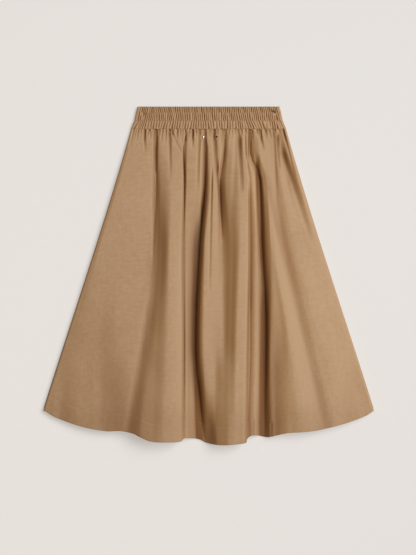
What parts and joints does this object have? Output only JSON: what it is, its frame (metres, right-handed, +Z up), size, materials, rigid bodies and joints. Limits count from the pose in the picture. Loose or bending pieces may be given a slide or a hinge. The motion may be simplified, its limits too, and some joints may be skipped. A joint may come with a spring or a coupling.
{
  "type": "circle skirt",
  "caption": "Flared midi skirt laid flat: front and back panels gathered onto a wide elastic waistband, deep soft folds, turned-up hem, small round studs below the waist.",
  "frame": {"origin": "middle of the underside of the whole skirt's box, on the surface the skirt lies on", "axes": "+Z up out of the front panel, +Y from hem to waist along the skirt's length, +X to the right as seen from above with the waist away from the viewer"},
  "size_m": [0.7782, 0.7951, 0.0453],
  "materials": {
    "gabardine": "tan cotton gabardine, fine steep twill with a soft low sheen, piece dyed",
    "waistband": "the same gabardine, ruched over 50 mm elastic",
    "stud_metal": "small domed studs, polished pale metal"
  },
  "bodies": {
    "root": {"front_panel": "gabardine", "back_panel": "gabardine", "waistband_front": "waistband", "waistband_back": "waistband", "stud_left": "stud_metal", "stud_right": "stud_metal"}
  },
  "joints": []
}
